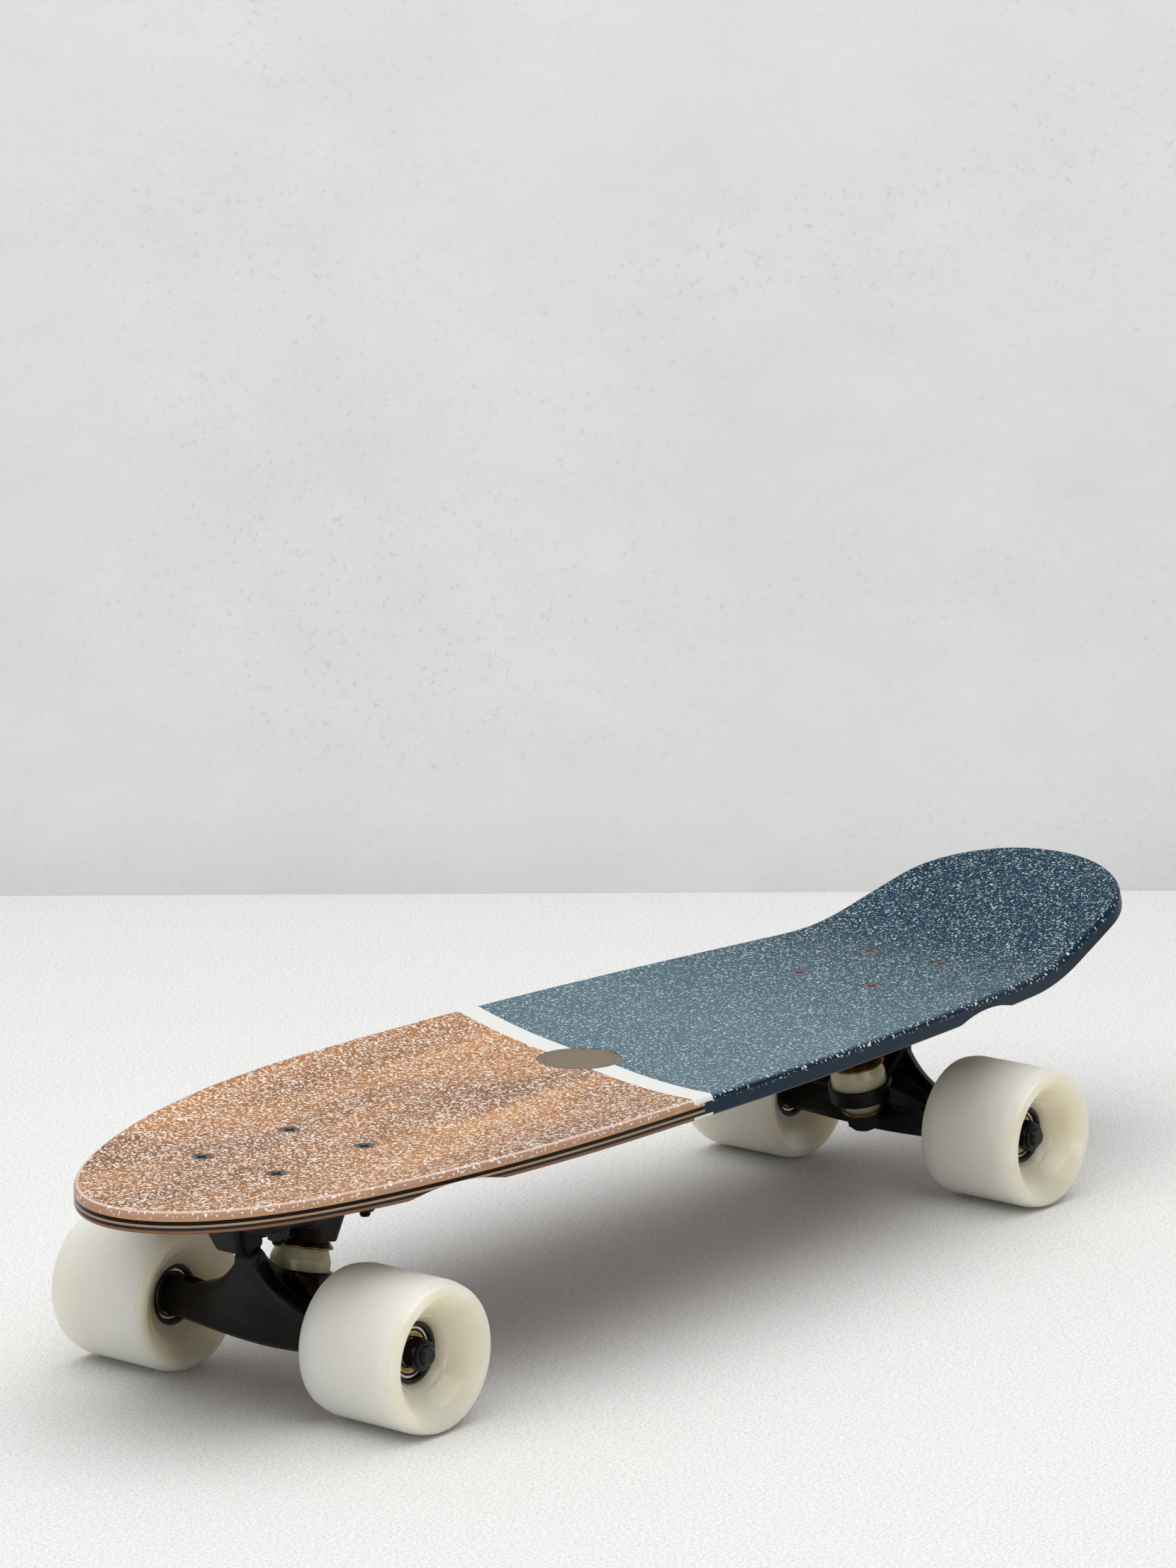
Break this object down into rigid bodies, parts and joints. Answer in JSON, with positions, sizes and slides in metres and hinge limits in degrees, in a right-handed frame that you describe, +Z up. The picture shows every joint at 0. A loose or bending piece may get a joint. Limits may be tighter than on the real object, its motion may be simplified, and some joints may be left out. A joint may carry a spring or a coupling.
{
  "type": "cruiser skateboard",
  "caption": "Laminated cruiser skateboard deck with a kicktail, on sprung steering trucks with soft, free-rolling wheels on ball bearings.",
  "frame": {"origin": "bottom centre of the whole board's box: on the ground, midway between nose and tail", "axes": "+X towards the nose, +Y towards the rider's left, +Z up"},
  "size_m": [0.6604, 0.1908, 0.1298],
  "materials": {
    "deck_wood": "laminated veneer under clear gritted lacquer",
    "badge_metal": "satin bronze-brown inlay",
    "black_cast": "satin black coated casting",
    "black_steel": "black oxide",
    "bronze": "bronze-coloured plating",
    "cream_urethane": "cast urethane, matte",
    "ivory_urethane": "cast urethane, ground tread and glossy sides",
    "black_nylon": "moulded",
    "bearing_steel": "ground steel",
    "shield_metal": "tan shield"
  },
  "bodies": {
    "deck": {"deck": "deck_wood", "badge": "badge_metal", "front_riser": "black_nylon", "front_baseplate": "black_cast", "front_pivot_cup": "black_nylon", "front_kingpin": "black_steel", "front_kingpin_nut": "black_steel", "front_upper_cup_washer": "bronze", "front_upper_bushing": "cream_urethane", "front_lower_bushing": "cream_urethane", "front_lower_cup_washer": "bronze", "front_bolt_1": "black_steel", "front_bolt_2": "black_steel", "front_bolt_3": "black_steel", "front_bolt_4": "black_steel", "rear_riser": "black_nylon", "rear_baseplate": "black_cast", "rear_pivot_cup": "black_nylon", "rear_kingpin": "black_steel", "rear_kingpin_nut": "black_steel", "rear_upper_cup_washer": "bronze", "rear_upper_bushing": "cream_urethane", "rear_lower_bushing": "cream_urethane", "rear_lower_cup_washer": "bronze", "rear_bolt_1": "black_steel", "rear_bolt_2": "black_steel", "rear_bolt_3": "black_steel", "rear_bolt_4": "black_steel"},
    "front_hanger": {"front_hanger": "black_cast", "front_axle": "black_steel", "front_left_axle_nut": "black_steel", "front_left_inboard_inner_race": "bearing_steel", "front_left_outboard_inner_race": "bearing_steel", "front_right_axle_nut": "black_steel", "front_right_inboard_inner_race": "bearing_steel", "front_right_outboard_inner_race": "bearing_steel"},
    "front_left_wheel": {"front_left_inboard_outer_race": "shield_metal", "front_left_outboard_outer_race": "shield_metal", "front_left_core": "black_nylon", "front_left_tyre": "ivory_urethane"},
    "front_right_wheel": {"front_right_inboard_outer_race": "shield_metal", "front_right_outboard_outer_race": "shield_metal", "front_right_core": "black_nylon", "front_right_tyre": "ivory_urethane"},
    "rear_hanger": {"rear_hanger": "black_cast", "rear_axle": "black_steel", "rear_left_axle_nut": "black_steel", "rear_left_inboard_inner_race": "bearing_steel", "rear_left_outboard_inner_race": "bearing_steel", "rear_right_axle_nut": "black_steel", "rear_right_inboard_inner_race": "bearing_steel", "rear_right_outboard_inner_race": "bearing_steel"},
    "rear_left_wheel": {"rear_left_inboard_outer_race": "shield_metal", "rear_left_outboard_outer_race": "shield_metal", "rear_left_core": "black_nylon", "rear_left_tyre": "ivory_urethane"},
    "rear_right_wheel": {"rear_right_inboard_outer_race": "shield_metal", "rear_right_outboard_outer_race": "shield_metal", "rear_right_core": "black_nylon", "rear_right_tyre": "ivory_urethane"}
  },
  "joints": [
    {"name": "front_steer", "type": "hinge", "parent": "deck", "child": "front_hanger", "pos_m": [0.25155, 0, 0.0726], "axis": [0.7738, 0, 0.6335], "range_deg": [-18, 18], "stiffness_Nm_per_rad": 40, "deforming": ["front_upper_bushing", "front_lower_bushing"]},
    {"name": "front_left_spin", "type": "hinge", "parent": "front_hanger", "child": "front_left_wheel", "pos_m": [0.23625, 0.0691, 0.032], "axis": [0, 1, 0], "continuous": true},
    {"name": "front_right_spin", "type": "hinge", "parent": "front_hanger", "child": "front_right_wheel", "pos_m": [0.23625, -0.0691, 0.032], "axis": [0, 1, 0], "continuous": true},
    {"name": "rear_steer", "type": "hinge", "parent": "deck", "child": "rear_hanger", "pos_m": [-0.20515, 0, 0.0726], "axis": [-0.7738, 0, 0.6335], "range_deg": [-18, 18], "stiffness_Nm_per_rad": 40, "deforming": ["rear_upper_bushing", "rear_lower_bushing"]},
    {"name": "rear_left_spin", "type": "hinge", "parent": "rear_hanger", "child": "rear_left_wheel", "pos_m": [-0.18985, 0.0691, 0.032], "axis": [0, 1, 0], "continuous": true},
    {"name": "rear_right_spin", "type": "hinge", "parent": "rear_hanger", "child": "rear_right_wheel", "pos_m": [-0.18985, -0.0691, 0.032], "axis": [0, 1, 0], "continuous": true}
  ]
}
